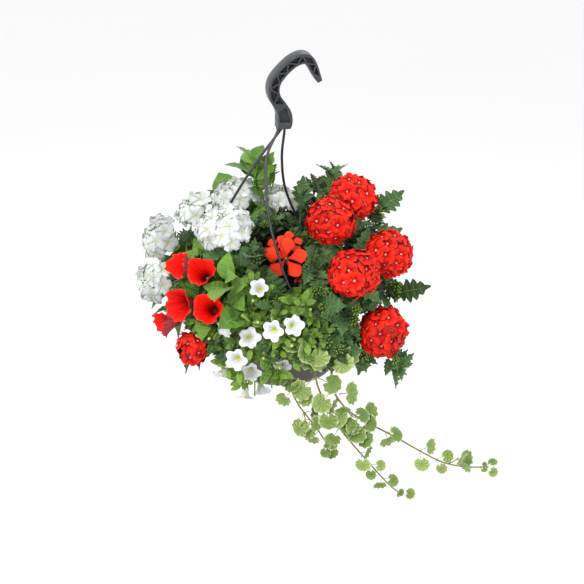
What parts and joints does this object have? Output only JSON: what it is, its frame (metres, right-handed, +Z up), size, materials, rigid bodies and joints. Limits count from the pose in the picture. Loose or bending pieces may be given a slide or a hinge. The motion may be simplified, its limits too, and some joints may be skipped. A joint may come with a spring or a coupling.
{
  "type": "flowering hanging basket",
  "caption": "Tapered plastic hanging pot on a moulded hook with thin strands, planted with red and white verbena, red petunia, white calibrachoa, a red geranium and trailing variegated ground ivy.",
  "frame": {"origin": "where the top of the hook's inner curve rests on the bar or hook that it hangs from", "axes": "+Z up, +X to the right with the hook's nose on the right, -Y towards the side that is seen first"},
  "size_m": [0.442, 0.3188, 0.5295],
  "materials": {
    "dark_plastic": "satin moulded plastic, dark slate grey",
    "potting_soil": "damp crumbly potting soil, almost black",
    "red_petals": "soft scarlet petals with a fine sheen",
    "white_petals": "soft white petals with greenish eyes",
    "verbena_green": "dark green toothed leaves, slightly rough",
    "bright_green": "smooth bright green leaves with a low sheen",
    "variegated_green": "pale green scalloped leaves with cream edges"
  },
  "bodies": {
    "root": {"pot": "dark_plastic", "soil": "potting_soil", "hanger_hook": "dark_plastic", "hanger_strand_front": "dark_plastic", "hanger_strand_right": "dark_plastic", "hanger_strand_left": "dark_plastic", "red_verbena_head_1": "red_petals", "red_verbena_head_2": "red_petals", "red_verbena_head_3": "red_petals", "red_verbena_head_4": "red_petals", "red_verbena_head_5": "red_petals", "red_verbena_head_6": "red_petals", "red_verbena_head_7": "red_petals", "white_verbena_head_1": "white_petals", "white_verbena_head_2": "white_petals", "white_verbena_head_3": "white_petals", "white_verbena_head_4": "white_petals", "white_verbena_head_5": "white_petals", "white_verbena_head_6": "white_petals", "white_verbena_head_7": "white_petals", "petunia_bloom_1": "red_petals", "petunia_bloom_2": "red_petals", "petunia_bloom_3": "red_petals", "petunia_bloom_4": "red_petals", "petunia_bloom_5": "red_petals", "petunia_bloom_6": "red_petals", "calibrachoa_bloom_1": "white_petals", "calibrachoa_bloom_2": "white_petals", "calibrachoa_bloom_3": "white_petals", "calibrachoa_bloom_4": "white_petals", "calibrachoa_bloom_5": "white_petals", "calibrachoa_bloom_6": "white_petals", "calibrachoa_bloom_7": "white_petals", "calibrachoa_bloom_8": "white_petals", "calibrachoa_bloom_9": "white_petals", "calibrachoa_bloom_10": "white_petals", "calibrachoa_bloom_11": "white_petals", "calibrachoa_bloom_12": "white_petals", "geranium_bloom": "red_petals", "red_verbena_stem_1": "verbena_green", "red_verbena_stem_2": "verbena_green", "red_verbena_stem_3": "verbena_green", "red_verbena_stem_4": "verbena_green", "red_verbena_stem_5": "verbena_green", "red_verbena_stem_6": "verbena_green", "white_verbena_stem_1": "verbena_green", "white_verbena_stem_2": "verbena_green", "white_verbena_stem_3": "verbena_green", "white_verbena_stem_4": "verbena_green", "petunia_stem_1": "bright_green", "petunia_stem_2": "bright_green", "petunia_stem_3": "bright_green", "calibrachoa_stem_1": "bright_green", "calibrachoa_stem_2": "bright_green", "calibrachoa_stem_3": "bright_green", "calibrachoa_stem_4": "bright_green", "geranium_stem": "verbena_green", "ivy_stem_1": "variegated_green", "ivy_stem_2": "variegated_green", "ivy_stem_3": "variegated_green"}
  },
  "joints": []
}
